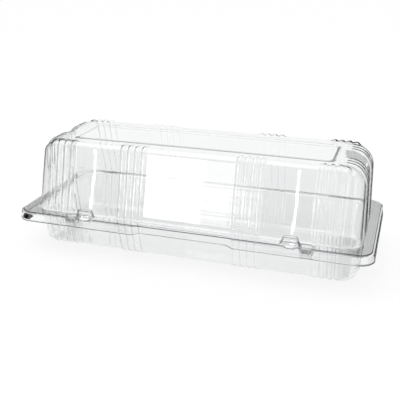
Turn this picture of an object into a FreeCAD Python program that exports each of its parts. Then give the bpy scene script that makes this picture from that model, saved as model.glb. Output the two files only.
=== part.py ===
# Clear thermoformed clamshell pack for a loaf or bar cake: a shallow ribbed tray,
# a tall ribbed lid and the fold that joins them along the back.
#
# Millimetres, +Z up, +X along the pack, -Y to the front where the locks are.
# The origin is on the resting plane, under the middle of the whole closed pack.
# Tray and lid are each built round the middle of their mouth, with the mouth at z = 0,
# and are moved into the pack's frame when they are written.
import FreeCAD
import Part
import math
import os

V = FreeCAD.Vector

# The formed sheet
sheet = 0.5

# Mouth of tray and lid, outside the walls
mouth_length = 280.0
mouth_width = 108.0
mouth_corner = 14.0

# Tray, below its mouth
tray_depth = 33.0
tray_end_lean = 2.5
tray_side_lean = 8.0
tray_corner = 12.0
tray_foot_radius = 6.0

# Lid, above its mouth
lid_height = 58.5
lid_end_lean = 2.0
lid_side_lean = 15.0
lid_corner = 14.0
lid_side_shoulder = 5.0
lid_end_shoulder = 16.0

# Sunken panel in the roof
panel_end_border = 11.0
panel_side_border = 11.0
panel_corner = 6.0
panel_depth = 1.2
panel_slope = 0.8

# Flutes: upright ribs in groups, pressed outward in the walls
rib_pitch = 6.2
rib_height = 1.6
rib_foot = 5.8
rib_crest = 2.4
rib_valley = 0.15
rib_roof_run = 9.0
rib_last_turn = 70.0
rib_foot_lift = 0.3
side_group_ribs = 4
side_group_places = (50.0, 115.0)
end_group_ribs = 3
end_group_place = 19.5

# Ledge round the mouth of the tray, and the skirt that turns down from it
ledge_front = 12.0
ledge_end = 11.0
ledge_back = 4.0
ledge_corner = 12.5
skirt_drop = 7.0
skirt_flare = 1.0
skirt_stop = 20.0

# Finger notch in the middle of the front ledge, with an S bend at each end
notch_length = 80.0
notch_depth = 5.0
notch_bend = 5.0

# Rim of the lid, which lies on the ledge
rim_gap = 0.3
rim_setback = 1.5

# Locks in the front ledge: a pocket of the tray takes a button of the lid
lock_place = 100.4
pocket_length = 10.5
pocket_width = 8.0
pocket_depth = 6.0
pocket_corner = 2.5
pocket_draft = 0.7
lock_clearance = 0.35

# Raised block in the rim beside each lock
block_place = 87.8
block_length = 13.5
block_width = 7.0
block_rise = 6.0
block_corner = 2.0
block_draft = 0.8

# Fold along the back: a bead on the tray, with the rim of the lid ending just short of it
fold_length = 236.0
fold_radius = 0.9
fold_clearance = 0.25

# How far the working solids reach into and past the walls, and how close two points are the same
sink = 0.6
core = 3.0
beyond = 2.0
far_beyond = 8.0
touching = 1e-6

# Places that follow from the sizes
half_length = mouth_length / 2
half_width = mouth_width / 2
foot_half_length = half_length - tray_end_lean
foot_half_width = half_width - tray_side_lean
roof_half_length = half_length - lid_end_lean
roof_half_width = half_width - lid_side_lean
ledge_middle = -half_width - ledge_front / 2
fold_y = half_width + ledge_back
front_reach = half_width + ledge_front + skirt_flare
back_reach = fold_y + fold_radius
mouth_y = (front_reach - back_reach) / 2


def arc_edge(cx, cy, radius, start, end, z):
    """Arc in a level plane, from one angle to another in degrees."""
    points = []
    for angle in (start, (start + end) / 2, end):
        turn = math.radians(angle)
        points.append(V(cx + radius * math.cos(turn), cy + radius * math.sin(turn), z))
    return Part.Arc(*points).toShape()


def outline(half_x, front, back, corner, z, notch=None):
    """Closed level wire of a rounded rectangle, with the finger notch where its inset is given."""
    edges = [
        arc_edge(half_x - corner, front + corner, corner, -90, 0, z),
        arc_edge(half_x - corner, back - corner, corner, 0, 90, z),
        arc_edge(corner - half_x, back - corner, corner, 90, 180, z),
        arc_edge(corner - half_x, front + corner, corner, 180, 270, z),
    ]
    if notch is not None:
        edges += notch_arcs(front - notch, notch, z)
    wire = []
    for index, edge in enumerate(edges):
        follower = edges[(index + 1) % len(edges)]
        wire.append(edge)
        gap = follower.Vertexes[0].Point - edge.Vertexes[-1].Point
        if gap.Length > touching:
            wire.append(Part.LineSegment(edge.Vertexes[-1].Point, follower.Vertexes[0].Point).toShape())
    return Part.Wire(wire)


def notch_arcs(front, inset, z):
    """The four arcs of the notch's two S bends, left to right, for an outline moved in by inset."""
    turn = math.degrees(math.acos(1 - notch_depth / (2 * notch_bend)))
    half_run = notch_bend * math.sin(math.radians(turn))
    near = notch_length / 2 + half_run
    far = notch_length / 2 - half_run
    near_y = front + notch_bend
    far_y = front + notch_depth - notch_bend
    inner = notch_bend - inset
    outer = notch_bend + inset
    return [
        arc_edge(-near, near_y, inner, -90, turn - 90, z),
        arc_edge(-far, far_y, outer, 90 + turn, 90, z),
        arc_edge(far, far_y, outer, 90, 90 - turn, z),
        arc_edge(near, near_y, inner, -90 - turn, -90, z),
    ]


def centred(half_x, half_y, corner, z):
    """Closed level wire of a rounded rectangle round the middle."""
    return outline(half_x, -half_y, half_y, corner, z)


def frustum(half_x, half_y, corner, draft, z_wide, z_narrow):
    """Solid with round corners that narrows by draft from one level to the other."""
    wide = centred(half_x, half_y, corner, z_wide)
    narrow = centred(half_x - draft, half_y - draft, corner - draft / 2, z_narrow)
    return Part.makeLoft([wide, narrow], True, True)


def level_edges(solid, z):
    """Edges of a solid that lie wholly at height z."""
    found = []
    for edge in solid.Edges:
        box = edge.BoundBox
        if abs(box.ZMin - z) < touching and abs(box.ZMax - z) < touching:
            found.append(edge)
    return found


def offset_path(path, distance):
    """Open line of (out, z) points moved by distance, away from the inside of the pack."""
    normals = []
    for (out_a, z_a), (out_b, z_b) in zip(path, path[1:]):
        run = math.hypot(out_b - out_a, z_b - z_a)
        normals.append(((z_b - z_a) / run, (out_a - out_b) / run))
    moved = []
    for index, (out, z) in enumerate(path):
        before = normals[max(index - 1, 0)]
        after = normals[min(index, len(normals) - 1)]
        share = distance / (1 + before[0] * after[0] + before[1] * after[1])
        moved.append((out + (before[0] + after[0]) * share, z + (before[1] + after[1]) * share))
    return moved


def rib_group(path, inside, centre, count, skin):
    """One group of ribs of the front wall as a single solid that follows the wall's outline.

    path is the outline as (out, z) points, inside closes it within the wall, centre is the
    group's place along the wall, and skin is how deep this surface lies in the sheet.
    """
    flank = math.atan2(rib_height - rib_valley, (rib_foot - rib_crest) / 2)
    narrowing = skin * math.tan(flank / 2)
    half_crest = rib_crest / 2 - narrowing
    half_foot = rib_foot / 2 - narrowing
    half_root = half_crest + (rib_height + sink) / math.tan(flank)
    first = centre - rib_pitch * (count - 1) / 2
    last = centre + rib_pitch * (count - 1) / 2
    stations = [(first - half_root, -sink)]
    for index in range(count):
        place = first + rib_pitch * index
        stations += [(place - half_crest, rib_height), (place + half_crest, rib_height)]
        if index < count - 1:
            stations += [(place + half_foot, rib_valley), (place + rib_pitch - half_foot, rib_valley)]
    stations.append((last + half_root, -sink))
    wires = []
    for along, level in stations:
        points = [V(along, -out, z) for out, z in offset_path(path, level - skin) + inside]
        wires.append(Part.makePolygon(points + points[:1]))
    return Part.makeLoft(wires, True, True)


def mirrored(shape, normal):
    """Mirror image of a shape in the plane through the middle with this normal."""
    return shape.mirror(V(0, 0, 0), normal)


def all_ribs(side, end, skin):
    """Rib groups of the four walls; side and end are each a path and its inside points."""
    groups = []
    for sign in (-1, 1):
        for centre in side_group_places:
            front = rib_group(side[0], side[1], sign * centre, side_group_ribs, skin)
            groups += [front, mirrored(front, V(0, 1, 0))]
        right = rib_group(end[0], end[1], sign * end_group_place, end_group_ribs, skin)
        right.rotate(V(0, 0, 0), V(0, 0, 1), 90)
        groups += [right, mirrored(right, V(1, 0, 0))]
    return groups


def tray_rib_line(foot, lean, skin):
    """Outline of a tray wall for its ribs, from under the foot up past the mouth."""
    slope = lean / tray_depth
    top = beyond + rib_height
    floor = rib_height + rib_foot_lift - tray_depth
    bend = tray_foot_radius * (1 - math.sqrt(0.5))
    path = [
        (foot - tray_foot_radius, floor),
        (foot - bend, floor),
        (foot + slope * tray_foot_radius, tray_foot_radius - tray_depth),
        (foot + slope * (tray_depth + top), top),
    ]
    inside = [(foot - core, top), (foot - tray_foot_radius, core + skin - tray_depth)]
    return path, inside


def tray_form(skin):
    """The tray's outer form with its ribs, or its hollow when skin is the sheet.

    Both reach beyond the mouth, so that they can be cut off there.
    """
    rise_x = beyond * tray_end_lean / tray_depth
    rise_y = beyond * tray_side_lean / tray_depth
    floor = skin - tray_depth
    foot = centred(foot_half_length - skin, foot_half_width - skin, tray_corner - skin, floor)
    mouth = centred(half_length + rise_x - skin, half_width + rise_y - skin, mouth_corner - skin, beyond)
    body = Part.makeLoft([foot, mouth], True, True)
    body = body.makeFillet(tray_foot_radius - skin, level_edges(body, floor))
    side = tray_rib_line(foot_half_width, tray_side_lean, skin)
    end = tray_rib_line(foot_half_length, tray_end_lean, skin)
    return body.multiFuse(all_ribs(side, end, skin))


def lid_rib_line(roof, lean, shoulder, bend_steps):
    """Outline of a lid wall for its ribs: up the wall, over the shoulder, down into the roof."""
    slope = lean / lid_height
    bottom = -beyond - rib_height
    path = [(roof + slope * (lid_height - bottom), bottom)]
    centre = roof - shoulder
    for step in range(bend_steps + 1):
        turn = math.radians(rib_last_turn * step / bend_steps)
        path.append((centre + shoulder * math.cos(turn), lid_height - shoulder * (1 - math.sin(turn))))
    tip = path[-1][0] - rib_roof_run
    path.append((tip, lid_height - 2 * rib_height))
    inside = [(tip, lid_height - 3 * core), (roof - core, lid_height - shoulder - 3 * core), (roof - core, bottom)]
    return path, inside


def end_shoulders(skin, bottom, top):
    """Block across the whole lid whose two ends lean and round over into the roof."""
    slope = lid_end_lean / lid_height
    foot_x = half_length - slope * bottom - skin
    roof_x = roof_half_length - skin
    corners = [V(-foot_x, 0, bottom), V(foot_x, 0, bottom), V(roof_x, 0, top), V(-roof_x, 0, top)]
    block = Part.Face(Part.makePolygon(corners + corners[:1])).extrude(V(0, 2 * mouth_width, 0))
    block.translate(V(0, -mouth_width, 0))
    edges = [edge for edge in level_edges(block, top) if edge.BoundBox.XLength < touching]
    return block.makeFillet(lid_end_shoulder - skin, edges)


def panel_cut(skin):
    """Solid that sinks the roof panel into the lid's form."""
    slope = math.atan2(panel_depth, panel_slope)
    spread = skin * math.tan(slope / 2)
    half_x = roof_half_length - lid_end_shoulder - panel_end_border + spread
    half_y = roof_half_width - lid_side_shoulder - panel_side_border + spread
    roof = lid_height - skin
    return frustum(half_x, half_y, panel_corner, panel_slope, roof, roof - panel_depth)


def lid_form(skin):
    """The lid's outer form with its ribs, or its hollow when skin is the sheet.

    Both reach beyond the mouth, so that they can be cut off there.
    """
    bottom = -beyond
    drop_x = bottom * lid_end_lean / lid_height
    drop_y = bottom * lid_side_lean / lid_height
    top = lid_height - skin
    mouth = centred(half_length - drop_x - skin, half_width - drop_y - skin, mouth_corner - skin, bottom)
    roof = centred(roof_half_length - skin, roof_half_width - skin, lid_corner - skin, top)
    body = Part.makeLoft([mouth, roof], True, True)
    body = body.makeFillet(lid_side_shoulder - skin, level_edges(body, top))
    body = body.common(end_shoulders(skin, bottom, top))
    side = lid_rib_line(roof_half_width, lid_side_lean, lid_side_shoulder, 2)
    end = lid_rib_line(roof_half_length, lid_end_lean, lid_end_shoulder, 4)
    return body.multiFuse(all_ribs(side, end, skin)).cut(panel_cut(skin))


def skirt_form(skin):
    """Block under the ledge with the skirt's flared outside, or the space within the skirt."""
    flare = skirt_flare / skirt_drop
    top = -skin
    bottom = -skirt_drop - (beyond if skin else 0.0)
    wires = []
    for z in (top, bottom):
        inset = skin + flare * z
        half_x = half_length + ledge_end - inset
        front = inset - half_width - ledge_front
        wires.append(outline(half_x, front, fold_y, ledge_corner - inset, z, notch=inset))
    return Part.makeLoft(wires, True, True)


def ledge_and_skirt():
    """Ledge round the mouth, with the skirt along the front and the ends."""
    ring = skirt_form(0.0).cut(skirt_form(sheet))
    width = 2 * (half_length + ledge_end + beyond)
    stop_y = fold_y - skirt_stop
    back = Part.makeBox(width, skirt_stop + beyond, skirt_drop + beyond)
    back.translate(V(-width / 2, stop_y, -sheet - skirt_drop - beyond))
    return ring.cut(back).removeSplitter()


def past_mouth(height):
    """Large block that reaches from the mouth plane up, or down where the height is negative."""
    length = mouth_length + 2 * far_beyond
    width = mouth_width + 2 * far_beyond
    corner = V(-length / 2, -width / 2, min(height, 0.0))
    return Part.makeBox(length, width, abs(height), corner)


def lock_pocket(length, width, depth, top):
    """Solid of a pocket or button, from its rim at z = top down by depth, at the right lock."""
    solid = frustum(length / 2, width / 2, pocket_corner, pocket_draft, top, top - depth)
    solid.translate(V(lock_place, ledge_middle, 0))
    return solid


def both_sides(solid):
    """A solid on the right and its mirror image on the left."""
    return [solid, mirrored(solid, V(1, 0, 0))]


def build_tray():
    """Tray with its ledge, skirt, lock pockets and the bead of the fold."""
    pocket = lock_pocket(pocket_length + 2 * sheet, pocket_width + 2 * sheet, pocket_depth + sheet, 0.0)
    hollow = lock_pocket(pocket_length, pocket_width, pocket_depth, 0.0)
    bead = Part.makeCylinder(fold_radius, fold_length, V(-fold_length / 2, fold_y, rim_gap / 2), V(1, 0, 0))
    outside = tray_form(0.0).cut(past_mouth(far_beyond))
    outside = outside.multiFuse([ledge_and_skirt(), bead] + both_sides(pocket))
    return outside.cut([tray_form(sheet)] + both_sides(hollow))


def build_lid():
    """Lid with its rim, lock buttons and raised blocks."""
    rim_back = fold_y - fold_radius - fold_clearance
    rim_front = rim_setback - half_width - ledge_front
    rim = outline(half_length + ledge_end - rim_setback, rim_front, rim_back, ledge_corner - rim_setback, 0.0)
    rim = Part.Face(rim).extrude(V(0, 0, sheet))
    button_length = pocket_length - 2 * lock_clearance
    button_width = pocket_width - 2 * lock_clearance
    button_depth = pocket_depth + rim_gap - lock_clearance
    button = lock_pocket(button_length, button_width, button_depth + sheet, sheet)
    button_hollow = lock_pocket(button_length - 2 * sheet, button_width - 2 * sheet, button_depth, sheet)
    block = frustum(block_length / 2, block_width / 2, block_corner, block_draft, 0.0, block_rise)
    block_hollow = frustum(
        block_length / 2 - sheet, block_width / 2 - sheet, block_corner - sheet, block_draft, 0.0, block_rise - sheet
    )
    for solid in (block, block_hollow):
        solid.translate(V(block_place, ledge_middle, 0))
    outside = lid_form(0.0).cut(past_mouth(-far_beyond))
    outside = outside.multiFuse([rim] + both_sides(button) + both_sides(block))
    return outside.cut([lid_form(sheet)] + both_sides(button_hollow) + both_sides(block_hollow))


def write(name, shape, z):
    """Move a shape into the pack's frame, say whether it is one sound solid, and write it."""
    solid = shape.Solids[0]
    solid.translate(V(0, mouth_y, z))
    box = solid.optimalBoundingBox()
    print(name, "solids", len(shape.Solids), "valid", solid.isValid(), "faces", len(solid.Faces))
    print("  volume", round(solid.Volume), "box", [round(value, 2) for value in (
        box.XMin, box.XMax, box.YMin, box.YMax, box.ZMin, box.ZMax)])
    solid.exportStep(os.path.join("parts", name + ".step"))


os.makedirs("parts", exist_ok=True)
write("tray", build_tray(), tray_depth)
write("lid", build_lid(), tray_depth + rim_gap)
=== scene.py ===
import math

import bmesh
import bpy
import numpy as np
from mathutils import Matrix, Vector


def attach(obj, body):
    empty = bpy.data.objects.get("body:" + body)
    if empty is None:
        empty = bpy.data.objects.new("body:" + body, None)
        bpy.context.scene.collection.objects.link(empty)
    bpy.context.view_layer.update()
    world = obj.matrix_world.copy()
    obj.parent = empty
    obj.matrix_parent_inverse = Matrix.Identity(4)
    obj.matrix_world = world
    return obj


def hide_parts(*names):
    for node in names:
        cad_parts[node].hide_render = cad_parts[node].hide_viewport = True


MM = 0.001
SHEET = 0.45

# Mouth of tray and lid, outside the walls
MOUTH_X = 140.0
MOUTH_Y = 54.0
MOUTH_CORNER = 14.0
MOUTH_PLACE_Y = 4.05

# Small bend from the walls into ledge and rim, and how much of it the walls still have
MOUTH_BEND = 1.2
BEND_SHARE = 0.4
BEND_RUN = 3.5

# Tray
TRAY_DEPTH = 33.0
FOOT_X = 137.5
FOOT_Y = 46.0
FOOT_CORNER = 12.0
FOOT_RADIUS = 6.0
FOOT_CROWN = 0.5
FOOT_CROWN_RUN = 0.35

# Lid
RIM_GAP = 0.3
LID_HEIGHT = 58.5
ROOF_X = 138.0
ROOF_Y = 39.0
ROOF_CORNER = 14.0
SIDE_SHOULDER = 5.0
END_SHOULDER = 16.0
FLAT_CORNER = 8.0
PANEL_BORDER = 11.0
PANEL_CORNER = 6.0
PANEL_DEPTH = 1.2
PANEL_SLOPE = 0.9
ROOF_CROWN = 0.9
CROWN_SIDE_FALL = 0.6

# Outward bow of the panels between the flutes: middle and half length of each
WALL_BULGE = 0.15
TRAY_BULGE_SHARE = 0.6
BULGES = ((-82.5, 19.0), (82.5, 19.0))

# Flutes
RIB_PITCH = 6.2
RIB_HEIGHT = 1.55
RIB_FOOT = 5.9
RIB_CREST = 1.6
SIDE_GROUPS = (-115.0, -50.0, 50.0, 115.0)
SIDE_RIBS = 4
END_GROUPS = (-19.5, 19.5)
END_RIBS = 3

# Where the flutes grow and fade: distances from the mouth, then shares of foot and shoulder
MOUTH_RIB_SHARE = 0.5
TRAY_RIB_START = (-1.0, 2.5)
LID_RIB_START = (-1.5, 3.0)
FOOT_RIB_FADE = (0.25, 0.8)
FOOT_RIB_TILT = 0.6
SHOULDER_RIB_FADE = (0.6, 1.0)
ROOF_RIB_SHARE = 0.45
RIB_ROOF_RUN = 5.0

# Ledge, skirt and rim
LEDGE_FRONT = 12.0
LEDGE_END = 11.0
LEDGE_BACK = 4.0
LEDGE_CORNER = 12.5
SKIRT_DROP = 7.0
SKIRT_FLARE = 1.0
SKIRT_STOP = 20.0
SKIRT_STOP_RUN = 1.5
NOTCH_HALF = 40.0
NOTCH_DEPTH = 5.0
NOTCH_RUN = 8.6
RIM_SETBACK = 1.5
RIM_BACK_GAP = 1.15

# Locks
LOCK_X = 100.4
LOCK_SIZE = (10.5, 8.0)
LOCK_DEPTH = 6.0
LOCK_CLEARANCE = 0.35
BLOCK_X = 87.8
BLOCK_SIZE = (13.5, 7.0)
BLOCK_RISE = 6.0
DIP_SIZE = (9.0, 6.5)
DIP_DEPTH = 2.5
LOCK_DRAFT = 0.8
LOCK_CORNER = 2.0

# Fold along the back
FOLD_LENGTH = 236.0
FOLD_RADIUS = 0.45
FOLD_SIDES = 24

# Columns of points round the pack: start, end and step of each stretch of half a wall,
# close together where flutes and locks are
SIDE_STRETCHES = ((0.0, 34.0, 2.4), (34.0, 66.0, 0.66), (66.0, 79.0, 2.0), (79.0, 126.0, 0.66))
END_STRETCHES = ((0.0, 8.0, 1.6), (8.0, 33.0, 0.66), (33.0, 40.0, 1.4))
CORNER_STEPS = 18

# How squarely a column faces along an axis to count as part of a wall, or of the front
WALL_FACING = 0.75
FRONT_FACING = 0.99

# Rows of points, as shares of each surface's width. Those of ledge and rim run from the mouth
# to the edge, close together at the edges of the locks.
LEDGE_ROWS = (0.08, 0.13, 0.165, 0.2, 0.235, 0.35, 0.5, 0.65, 0.765, 0.8, 0.835, 0.87, 0.93, 1.0)
SKIRT_ROWS = (1.0, 0.75, 0.5, 0.25, 0.1)
FLOOR_ROWS = (0.06, 0.15, 0.35, 0.6, 0.85, 1.0)
BORDER_ROWS = (0.12, 0.26, 0.42, 0.65, 1.0)
SLOPE_ROWS = (0.25, 0.5, 0.75, 1.0)
PANEL_ROWS = (0.1, 0.3, 0.6, 0.85, 1.0)
TRAY_WALL_STEPS = 14
FOOT_STEPS = 8
LID_WALL_STEPS = 16
SHOULDER_STEPS = 10

# Points closer than this are one, and edges shorter than this go, in metres
WELD = 2e-6
SLIVER = 1e-6

# Clear plastic
PLASTIC_COLOUR = (0.955, 0.96, 0.962, 1.0)
PLASTIC_ROUGHNESS = 0.03
PLASTIC_IOR = 1.57
WAVE_SCALE = 55.0
WAVE_DETAIL = 2.0
WAVE_STRENGTH = 0.08
WAVE_HEIGHT = 0.0006

# Floor, and the share of its white that shows at full strength, so that its shadow stays light
FLOOR_WHITE = (0.96, 0.96, 0.96)
FLOOR_SIZE = 8.0
FLOOR_Z = -0.0003
FLOOR_GLOW = 0.85

# Black cards: name, middle, point that the card faces, width and height
CARD_BLACK = (0.01, 0.01, 0.01)
STAGE_ROUGHNESS = 0.9
BLACK_CARDS = (
    ("card_left", (-0.62, 0.0, 0.22), (0.0, 0.0, 0.05), 0.9, 0.5),
    ("card_right", (0.62, 0.1, 0.22), (0.0, 0.0, 0.05), 0.9, 0.5),
    ("card_floor_right", (0.44, 0.30, 0.001), (0.44, 0.30, 1.0), 0.56, 0.8),
    ("card_floor_left", (-0.55, 0.15, 0.001), (-0.55, 0.15, 1.0), 0.56, 0.9),
    ("card_back_right", (0.45, 0.85, 0.35), (0.45, 0.0, 0.35), 0.8, 0.6),
    ("card_back_left", (-0.95, 0.75, 0.40), (0.0, 0.0, 0.05), 0.7, 0.6),
    ("card_front", (-0.2, -0.72, 0.30), (-0.2, 0.0, 0.30), 2.4, 0.8),
)
TIP_CARD = ("card_floor_tip", (-0.191, -0.003, 0.001), (-0.191, -0.003, 1.0), 0.032, 0.024)
# Surfaces of plastic through which the tip card still shows: one sheet has two
TIP_CARD_SURFACES = 2

# Softboxes and thin lit strips in front: name, strength, x, z, width and height
LIT_CARDS_Y = -0.66
LIT_CARDS = (
    ("softbox_front", 4.0, -0.240, 0.133, 0.13, 0.16),
    ("softbox_edge", 1.7, -0.1475, 0.133, 0.055, 0.16),
    ("strip_left", 9.0, -0.392, 0.136, 0.006, 0.14),
    ("strip_right", 9.0, 0.001, 0.146, 0.006, 0.14),
)

# Soft light overhead, aimed at the origin
LAMP_PLACE = (-0.25, -0.1, 0.9)
LAMP_WIDTH = 0.9
LAMP_DEPTH = 0.6
LAMP_POWER = 2.0

# Camera at the angle of the photograph, its lens and sensor in millimetres
CAMERA_PLACE = (0.16480, -0.51700, 0.24920)
CAMERA_YAW = 18.04
CAMERA_PITCH = 21.17
CAMERA_LENS = 59.4
CAMERA_SENSOR = 36.0
CAMERA_NEAR = 0.01
CAMERA_FAR = 20.0


def spread(start, end, step):
    """Evenly spaced values from start to just before end, about one step apart."""
    count = max(1, round((end - start) / step))
    return [start + (end - start) * index / count for index in range(count)]


def wall_shares(stretches):
    """Places of the columns along a wall, left to right, as shares of its half length."""
    half = []
    for start, end, step in stretches:
        half += spread(start, end, step)
    reach = stretches[-1][1]
    half.append(reach)
    both = [-place for place in reversed(half) if place > 0] + half
    return [place / reach for place in both]


def columns():
    """Columns round the pack, counter-clockwise from the front left.

    Each row gives the place of the point on the rectangle within the round corners, as
    shares of its half sides, and the outward direction: (share_x, share_y, out_x, out_y).
    """
    side = wall_shares(SIDE_STRETCHES)
    end = wall_shares(END_STRETCHES)
    turns = [math.radians(90 * step / CORNER_STEPS) for step in range(1, CORNER_STEPS)]
    table = []
    for quarter in range(4):
        turn = math.radians(90 * quarter)
        along = side if quarter % 2 == 0 else end
        out = (math.sin(turn), -math.cos(turn))
        way = (math.cos(turn), math.sin(turn))
        for share in along:
            table.append((way[0] * share + out[0], way[1] * share + out[1], out[0], out[1]))
        for bend in turns:
            direction = (math.sin(turn + bend), -math.cos(turn + bend))
            table.append((way[0] + out[0], way[1] + out[1], direction[0], direction[1]))
    return np.array(table)


COLUMNS = columns()
SHARE = COLUMNS[:, 0:2]
OUT = COLUMNS[:, 2:4]


def smooth(low, high, value):
    """Smooth step from 0 at low to 1 at high."""
    share = np.clip((np.asarray(value, float) - low) / (high - low), 0, 1)
    return share * share * (3 - 2 * share)


def loop(half_x, half_y, corner, z, middle_y=0.0):
    """One point for each column on a rounded rectangle; sizes may differ from column to column."""
    half = np.stack(np.broadcast_arrays(half_x, half_y), axis=-1)
    corner = np.broadcast_to(corner, len(SHARE))[:, None]
    plan = SHARE * (half - corner) + OUT * corner
    plan[:, 1] += middle_y
    return np.column_stack([plan, np.broadcast_to(z, len(plan))])


def wall_loop(far, share, z):
    """Loop of a leaning wall, at a share of the way from the mouth to far: half x, half y, corner."""
    near = (MOUTH_X, MOUTH_Y, MOUTH_CORNER)
    half_x, half_y, corner = (start + (end - start) * share for start, end in zip(near, far))
    return loop(half_x, half_y, corner, z)


def ribs(points):
    """Share of the full rib height at each point, from its place along its wall."""
    share = np.zeros(len(points))
    for axis, groups, count in ((0, SIDE_GROUPS, SIDE_RIBS), (1, END_GROUPS, END_RIBS)):
        faces = np.abs(OUT[:, 1 - axis]) > WALL_FACING
        for centre in groups:
            for index in range(count):
                place = centre + RIB_PITCH * (index - (count - 1) / 2)
                distance = np.abs(points[:, axis] - place)
                shape = 1 - smooth(RIB_CREST / 2, RIB_FOOT / 2, distance)
                share = np.where(faces, np.maximum(share, shape), share)
    return share


def bulge(points):
    """Share of the outward bow at each point, on the panels between the rib groups of the sides."""
    share = np.zeros(len(points))
    for centre, half in BULGES:
        bow = 1 - np.clip((points[:, 0] - centre) / half, -1, 1) ** 2
        share = np.maximum(share, bow)
    return np.where(np.abs(OUT[:, 1]) > WALL_FACING, share, 0.0)


def pushed(points, amount, tilt=0.0):
    """Points moved outward by amount, along a direction tilted up by an angle in radians."""
    moved = points.copy()
    moved[:, 0:2] += OUT * (np.asarray(amount) * np.cos(tilt))[:, None]
    moved[:, 2] += np.asarray(amount) * np.sin(tilt)
    return moved


def boss(points, place, size):
    """Share of the full depth of a small pressed box with round corners at (place, ledge middle)."""
    middle = -MOUTH_Y - LEDGE_FRONT / 2
    reach_x = np.abs(np.abs(points[:, 0]) - place) - size[0] / 2 + LOCK_CORNER
    reach_y = np.abs(points[:, 1] - middle) - size[1] / 2 + LOCK_CORNER
    outside = np.hypot(np.maximum(reach_x, 0), np.maximum(reach_y, 0)) - LOCK_CORNER
    inside = np.minimum(np.maximum(reach_x, reach_y), 0)
    return 1 - smooth(-LOCK_DRAFT, 0, outside + inside)


def notch(points):
    """How far the front edge of the ledge stands back at each point."""
    reach = np.abs(points[:, 0])
    depth = NOTCH_DEPTH * (1 - smooth(NOTCH_HALF - NOTCH_RUN / 2, NOTCH_HALF + NOTCH_RUN / 2, reach))
    return np.where(OUT[:, 1] < -FRONT_FACING, depth, 0.0)


def ledge_rows(edge, notched):
    """Rows of the ledge or rim from its outer edge in to the mouth."""
    rows = []
    mouth = loop(MOUTH_X, MOUTH_Y, MOUTH_CORNER, 0.0)
    mouth = pushed(mouth, RIB_HEIGHT * MOUTH_RIB_SHARE * ribs(mouth) + MOUTH_BEND)
    for share in reversed(LEDGE_ROWS):
        row = mouth + (edge - mouth) * share
        if notched:
            row[:, 1] += notch(row) * share
        rows.append(row)
    rows.append(mouth)
    return rows


def ledge_edge(setback, back, corner):
    """Outer edge of ledge or rim, set back from the ledge's own edge."""
    half_x = MOUTH_X + LEDGE_END - setback
    front = -MOUTH_Y - LEDGE_FRONT + setback
    return loop(half_x, (back - front) / 2, corner, 0.0, (back + front) / 2)


def tray_rows():
    """Rows of the tray's outer surface: skirt, ledge, walls, foot, floor."""
    edge = ledge_edge(SHEET, MOUTH_Y + LEDGE_BACK - SHEET, LEDGE_CORNER - SHEET)
    stop = MOUTH_Y + LEDGE_BACK - SKIRT_STOP
    drop = 1 - smooth(stop, stop + SKIRT_STOP_RUN, edge[:, 1])
    rows = []
    for share in SKIRT_ROWS:
        row = pushed(edge, SKIRT_FLARE * share * drop)
        row[:, 1] += notch(edge)
        row[:, 2] = -SHEET - (SKIRT_DROP - SHEET) * share * drop
        rows.append(row)
    pocket = (LOCK_SIZE[0] + 2 * SHEET, LOCK_SIZE[1] + 2 * SHEET)
    ledge = ledge_rows(edge, True)
    for row in ledge:
        row[:, 2] -= SHEET + LOCK_DEPTH * boss(row, LOCK_X, pocket)
        row[:, 2] -= DIP_DEPTH * boss(row, BLOCK_X, DIP_SIZE)
    rows += ledge
    foot = (FOOT_X, FOOT_Y, FOOT_CORNER)
    for step in range(TRAY_WALL_STEPS + 1):
        depth = MOUTH_BEND + (TRAY_DEPTH - FOOT_RADIUS - MOUTH_BEND) * step / TRAY_WALL_STEPS
        row = wall_loop(foot, depth / TRAY_DEPTH, -depth)
        grown = smooth(*TRAY_RIB_START, depth)
        bend = BEND_SHARE * MOUTH_BEND * (1 - smooth(0.0, BEND_RUN, depth))
        bow = TRAY_BULGE_SHARE * WALL_BULGE * bulge(row)
        rows.append(pushed(row, (RIB_HEIGHT * ribs(row) + bow) * grown + bend))
    low = (TRAY_DEPTH - FOOT_RADIUS) / TRAY_DEPTH
    foot_x = MOUTH_X + (FOOT_X - MOUTH_X) * low
    foot_y = MOUTH_Y + (FOOT_Y - MOUTH_Y) * low
    for step in range(1, FOOT_STEPS + 1):
        turn = math.pi / 2 * step / FOOT_STEPS
        inset = FOOT_RADIUS * (1 - math.cos(turn))
        height = FOOT_RADIUS * (1 - math.sin(turn)) - TRAY_DEPTH
        row = loop(foot_x - inset, foot_y - inset, FOOT_CORNER - inset, height)
        fade = 1 - smooth(*FOOT_RIB_FADE, step / FOOT_STEPS)
        rows.append(pushed(row, RIB_HEIGHT * ribs(row) * fade, -turn * FOOT_RIB_TILT))
    for share in FLOOR_ROWS:
        inset = FOOT_RADIUS + (foot_y - FOOT_RADIUS) * share
        corner = (FOOT_CORNER - FOOT_RADIUS) * (1 - share)
        height = FOOT_CROWN * smooth(0.0, FOOT_CROWN_RUN, share) - TRAY_DEPTH
        rows.append(loop(foot_x - inset, foot_y - inset, corner, height))
    return rows


def crowned(row, weight=1.0):
    """A roof row lifted a little towards the middle of the pack."""
    lift = (1 - (row[:, 0] / ROOF_X) ** 2) * (1 - CROWN_SIDE_FALL * (row[:, 1] / ROOF_Y) ** 2)
    row[:, 2] += ROOF_CROWN * lift * weight
    return row


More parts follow.
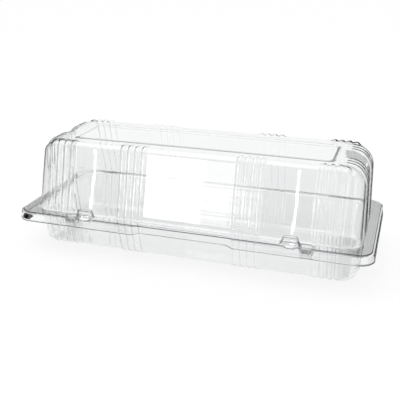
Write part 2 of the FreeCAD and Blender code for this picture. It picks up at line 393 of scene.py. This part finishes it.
def lid_rows():
    """Rows of the lid's outer surface: rim, walls, shoulders, roof, sunken panel."""
    back = MOUTH_Y + LEDGE_BACK - RIM_BACK_GAP
    edge = ledge_edge(RIM_SETBACK, back, LEDGE_CORNER - RIM_SETBACK)
    rows = ledge_rows(edge, False)
    slack = 2 * (LOCK_CLEARANCE + SHEET)
    button = (LOCK_SIZE[0] - slack, LOCK_SIZE[1] - slack)
    for row in rows:
        row[:, 2] += SHEET - (LOCK_DEPTH - LOCK_CLEARANCE) * boss(row, LOCK_X, button)
        row[:, 2] += BLOCK_RISE * boss(row, BLOCK_X, BLOCK_SIZE)
    radius = SIDE_SHOULDER * OUT[:, 1] ** 2 + END_SHOULDER * OUT[:, 0] ** 2
    roof = (ROOF_X, ROOF_Y, ROOF_CORNER)
    for step in range(LID_WALL_STEPS + 1):
        height = MOUTH_BEND + (LID_HEIGHT - radius - MOUTH_BEND) * step / LID_WALL_STEPS
        row = wall_loop(roof, height / LID_HEIGHT, height)
        grown = smooth(*LID_RIB_START, height)
        bend = BEND_SHARE * MOUTH_BEND * (1 - smooth(0.0, BEND_RUN, height))
        rows.append(pushed(row, (RIB_HEIGHT * ribs(row) + WALL_BULGE * bulge(row)) * grown + bend))
    outer = wall_loop(roof, (LID_HEIGHT - radius) / LID_HEIGHT, LID_HEIGHT - radius)
    flat_x = ROOF_X - END_SHOULDER
    flat_y = ROOF_Y - SIDE_SHOULDER
    flat = loop(flat_x, flat_y, FLAT_CORNER, LID_HEIGHT)
    for step in range(1, SHOULDER_STEPS + 1):
        turn = math.pi / 2 * step / SHOULDER_STEPS
        row = flat + (outer - flat) * math.cos(turn)
        row[:, 2] = LID_HEIGHT - radius * (1 - math.sin(turn))
        row = pushed(row, WALL_BULGE * bulge(row) * math.cos(turn))
        fade = 1 - (1 - ROOF_RIB_SHARE) * smooth(*SHOULDER_RIB_FADE, step / SHOULDER_STEPS)
        row = pushed(row, RIB_HEIGHT * ribs(row) * fade, turn)
        rows.append(crowned(row, math.sin(turn) ** 2))
    for share in BORDER_ROWS:
        inset = PANEL_BORDER * share
        corner = FLAT_CORNER + (PANEL_CORNER - FLAT_CORNER) * share
        row = loop(flat_x - inset, flat_y - inset, corner, LID_HEIGHT)
        fade = ROOF_RIB_SHARE * (1 - smooth(0.0, RIB_ROOF_RUN, inset))
        rows.append(crowned(pushed(row, RIB_HEIGHT * ribs(row) * fade, math.pi / 2)))
    panel_x = flat_x - PANEL_BORDER
    panel_y = flat_y - PANEL_BORDER
    for share in SLOPE_ROWS:
        inset = PANEL_SLOPE * share
        height = LID_HEIGHT - PANEL_DEPTH * smooth(0.0, 1.0, share)
        rows.append(crowned(loop(panel_x - inset, panel_y - inset, PANEL_CORNER - inset, height)))
    for share in PANEL_ROWS:
        inset = PANEL_SLOPE + (panel_y - PANEL_SLOPE) * share
        corner = (PANEL_CORNER - PANEL_SLOPE) * (1 - share)
        rows.append(crowned(loop(panel_x - inset, panel_y - inset, corner, LID_HEIGHT - PANEL_DEPTH)))
    return rows


def shell(name, rows, lift, side):
    """Thin shell from its rows, outer edge to closed middle; side 1 puts the sheet above them, -1 below."""
    count = len(SHARE)
    points = np.vstack(rows)
    points[:, 1] += MOUTH_PLACE_Y
    points[:, 2] += lift
    faces = []
    for level in range(len(rows) - 1):
        for index in range(count):
            follower = (index + 1) % count
            a = level * count + index
            b = level * count + follower
            faces.append((a, b, b + count, a + count))
    mesh = bpy.data.meshes.new(name)
    mesh.from_pydata((points * MM).tolist(), [], faces)
    work = bmesh.new()
    work.from_mesh(mesh)
    bmesh.ops.remove_doubles(work, verts=work.verts, dist=WELD)
    bmesh.ops.dissolve_degenerate(work, edges=work.edges, dist=SLIVER)
    work.to_mesh(mesh)
    work.free()
    mesh.shade_smooth()
    piece = bpy.data.objects.new(name, mesh)
    bpy.context.scene.collection.objects.link(piece)
    skin = piece.modifiers.new("thickness", "SOLIDIFY")
    skin.thickness = SHEET * MM
    skin.offset = side
    skin.use_even_offset = False
    return piece


def clear_plastic(name):
    """Clear formed sheet with a faint waviness."""
    material = bpy.data.materials.new(name)
    material.use_nodes = True
    nodes = material.node_tree.nodes
    links = material.node_tree.links
    shader = nodes["Principled BSDF"]
    shader.inputs["Base Color"].default_value = PLASTIC_COLOUR
    shader.inputs["Roughness"].default_value = PLASTIC_ROUGHNESS
    shader.inputs["IOR"].default_value = PLASTIC_IOR
    shader.inputs["Transmission Weight"].default_value = 1.0
    place = nodes.new("ShaderNodeTexCoord")
    waves = nodes.new("ShaderNodeTexNoise")
    waves.inputs["Scale"].default_value = WAVE_SCALE
    waves.inputs["Detail"].default_value = WAVE_DETAIL
    bump = nodes.new("ShaderNodeBump")
    bump.inputs["Strength"].default_value = WAVE_STRENGTH
    bump.inputs["Distance"].default_value = WAVE_HEIGHT
    links.new(place.outputs["Object"], waves.inputs["Vector"])
    links.new(waves.outputs["Fac"], bump.inputs["Height"])
    links.new(bump.outputs["Normal"], shader.inputs["Normal"])
    return material


def fold_bead(material):
    """Round bead of the fold along the back, riding on the tray."""
    y = MOUTH_Y + LEDGE_BACK + MOUTH_PLACE_Y
    z = TRAY_DEPTH + RIM_GAP / 2
    bpy.ops.mesh.primitive_cylinder_add(
        vertices=FOLD_SIDES,
        radius=FOLD_RADIUS * MM,
        depth=FOLD_LENGTH * MM,
        location=(0, y * MM, z * MM),
        rotation=(0, math.pi / 2, 0),
    )
    bead = bpy.context.object
    bead.name = "fold_bead"
    bead.data.shade_smooth()
    bead.data.materials.append(material)
    return bead


def stage_material(name, colour):
    """Plain matt surface of the studio."""
    material = bpy.data.materials.new(name)
    material.use_nodes = True
    shader = material.node_tree.nodes["Principled BSDF"]
    shader.inputs["Base Color"].default_value = (*colour, 1.0)
    shader.inputs["Roughness"].default_value = STAGE_ROUGHNESS
    shader.inputs["Specular IOR Level"].default_value = 0.0
    return material


def lit_material(name, strength):
    """Plain white glow."""
    material = stage_material(name, (0.0, 0.0, 0.0))
    shader = material.node_tree.nodes["Principled BSDF"]
    shader.inputs["Emission Color"].default_value = (1.0, 1.0, 1.0, 1.0)
    shader.inputs["Emission Strength"].default_value = strength
    return material


def worked_out(tree, operation, first, second):
    """Output of a math node, whose two inputs are sockets or plain numbers."""
    node = tree.nodes.new("ShaderNodeMath")
    node.operation = operation
    for socket, value in zip(node.inputs, (first, second)):
        if isinstance(value, (int, float)):
            socket.default_value = value
        else:
            tree.links.new(value, socket)
    return node.outputs[0]


def blend(tree, share, first, second):
    """Surface of a material that goes from the first shader to the second as share grows."""
    mix = tree.nodes.new("ShaderNodeMixShader")
    for socket, source in zip(mix.inputs, (share, first, second)):
        tree.links.new(source, socket)
    tree.links.new(mix.outputs[0], tree.nodes["Material Output"].inputs["Surface"])


def guarded_black(name, surfaces):
    """Black that shows where the plastic mirrors it, or behind a few surfaces looked through."""
    material = stage_material(name, CARD_BLACK)
    tree = material.node_tree
    rays = tree.nodes.new("ShaderNodeLightPath")
    mirrored = worked_out(tree, "GREATER_THAN", rays.outputs["Glossy Depth"], 0.5)
    behind = worked_out(tree, "LESS_THAN", rays.outputs["Transmission Depth"], surfaces + 0.5)
    shown = worked_out(tree, "MAXIMUM", mirrored, behind)
    clear = tree.nodes.new("ShaderNodeBsdfTransparent")
    blend(tree, shown, clear.outputs[0], tree.nodes["Principled BSDF"].outputs[0])
    return material


def card(name, centre, facing, width, height, material):
    """Flat card of the studio, out of the camera's own sight."""
    bpy.ops.mesh.primitive_plane_add(size=1.0)
    plane = bpy.context.object
    plane.name = name
    plane.scale = (width, height, 1.0)
    plane.location = centre
    plane.rotation_euler = (Vector(facing) - Vector(centre)).to_track_quat("Z", "Y").to_euler()
    plane.data.materials.append(material)
    plane.visible_camera = False
    plane.visible_diffuse = False
    plane.visible_shadow = False


def white_floor():
    """Pale floor that stays close to white where it is seen, also through the plastic."""
    material = stage_material("floor_white", FLOOR_WHITE)
    tree = material.node_tree
    rays = tree.nodes.new("ShaderNodeLightPath")
    seen = rays.outputs["Is Camera Ray"]
    for kind in ("Is Glossy Ray", "Is Transmission Ray"):
        seen = worked_out(tree, "MAXIMUM", seen, rays.outputs[kind])
    share = worked_out(tree, "MULTIPLY", seen, FLOOR_GLOW)
    glow = tree.nodes.new("ShaderNodeEmission")
    blend(tree, share, tree.nodes["Principled BSDF"].outputs[0], glow.outputs[0])
    bpy.ops.mesh.primitive_plane_add(size=FLOOR_SIZE, location=(0, 0, FLOOR_Z))
    floor = bpy.context.object
    floor.name = "floor"
    floor.data.materials.append(material)


def studio():
    """White surroundings, black cards, lit cards in front and a soft light overhead."""
    world = bpy.data.worlds.new("white")
    bpy.context.scene.world = world
    world.use_nodes = True
    world.node_tree.nodes["Background"].inputs["Color"].default_value = (1, 1, 1, 1)
    world.node_tree.nodes["Background"].inputs["Strength"].default_value = 1.0
    black = guarded_black("card_black", 0)
    for name, centre, facing, width, height in BLACK_CARDS:
        card(name, centre, facing, width, height, black)
    card(*TIP_CARD, guarded_black("card_tip_black", TIP_CARD_SURFACES))
    for name, strength, x, z, width, height in LIT_CARDS:
        card(name, (x, LIT_CARDS_Y, z), (x, 0, z), width, height, lit_material(name, strength))
    light = bpy.data.lights.new("overhead", "AREA")
    light.shape = "RECTANGLE"
    light.size = LAMP_WIDTH
    light.size_y = LAMP_DEPTH
    light.energy = LAMP_POWER
    lamp = bpy.data.objects.new("overhead", light)
    lamp.location = LAMP_PLACE
    lamp.rotation_euler = (-Vector(LAMP_PLACE)).to_track_quat("-Z", "Y").to_euler()
    bpy.context.scene.collection.objects.link(lamp)


def photo_camera():
    """Level camera of the photograph, from its place, turn and tilt."""
    yaw = math.radians(CAMERA_YAW)
    pitch = math.radians(CAMERA_PITCH)
    level = Vector((-math.sin(yaw), math.cos(yaw), 0))
    ahead = level * math.cos(pitch) - Vector((0, 0, math.sin(pitch)))
    right = ahead.cross(Vector((0, 0, 1))).normalized()
    up = right.cross(ahead)
    camera_data = bpy.data.cameras.new("camera")
    camera_data.sensor_width = CAMERA_SENSOR
    camera_data.lens = CAMERA_LENS
    camera_data.clip_start = CAMERA_NEAR
    camera_data.clip_end = CAMERA_FAR
    camera = bpy.data.objects.new("camera", camera_data)
    bpy.context.scene.collection.objects.link(camera)
    turn = Matrix((right, up, -ahead)).transposed().to_4x4()
    camera.matrix_world = Matrix.Translation(CAMERA_PLACE) @ turn
    bpy.context.scene.camera = camera


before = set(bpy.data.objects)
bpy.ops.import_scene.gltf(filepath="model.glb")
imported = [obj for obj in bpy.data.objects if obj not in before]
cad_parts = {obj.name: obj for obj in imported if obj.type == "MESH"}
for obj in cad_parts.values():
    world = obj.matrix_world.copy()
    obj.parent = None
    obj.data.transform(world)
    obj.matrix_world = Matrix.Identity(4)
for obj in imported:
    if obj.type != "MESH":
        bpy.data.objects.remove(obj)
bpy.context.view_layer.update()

plastic = clear_plastic("clear_sheet")
tray = shell("tray_shell", tray_rows(), TRAY_DEPTH, 1.0)
lid = shell("lid_shell", lid_rows(), TRAY_DEPTH + RIM_GAP, -1.0)
for piece, node in ((tray, "tray"), (lid, "lid")):
    piece.data.materials.append(plastic)
    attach(piece, node)
    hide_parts(node)
bead = fold_bead(plastic)
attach(bead, "tray")

white_floor()
studio()
photo_camera()
bpy.context.scene.view_settings.view_transform = "Standard"
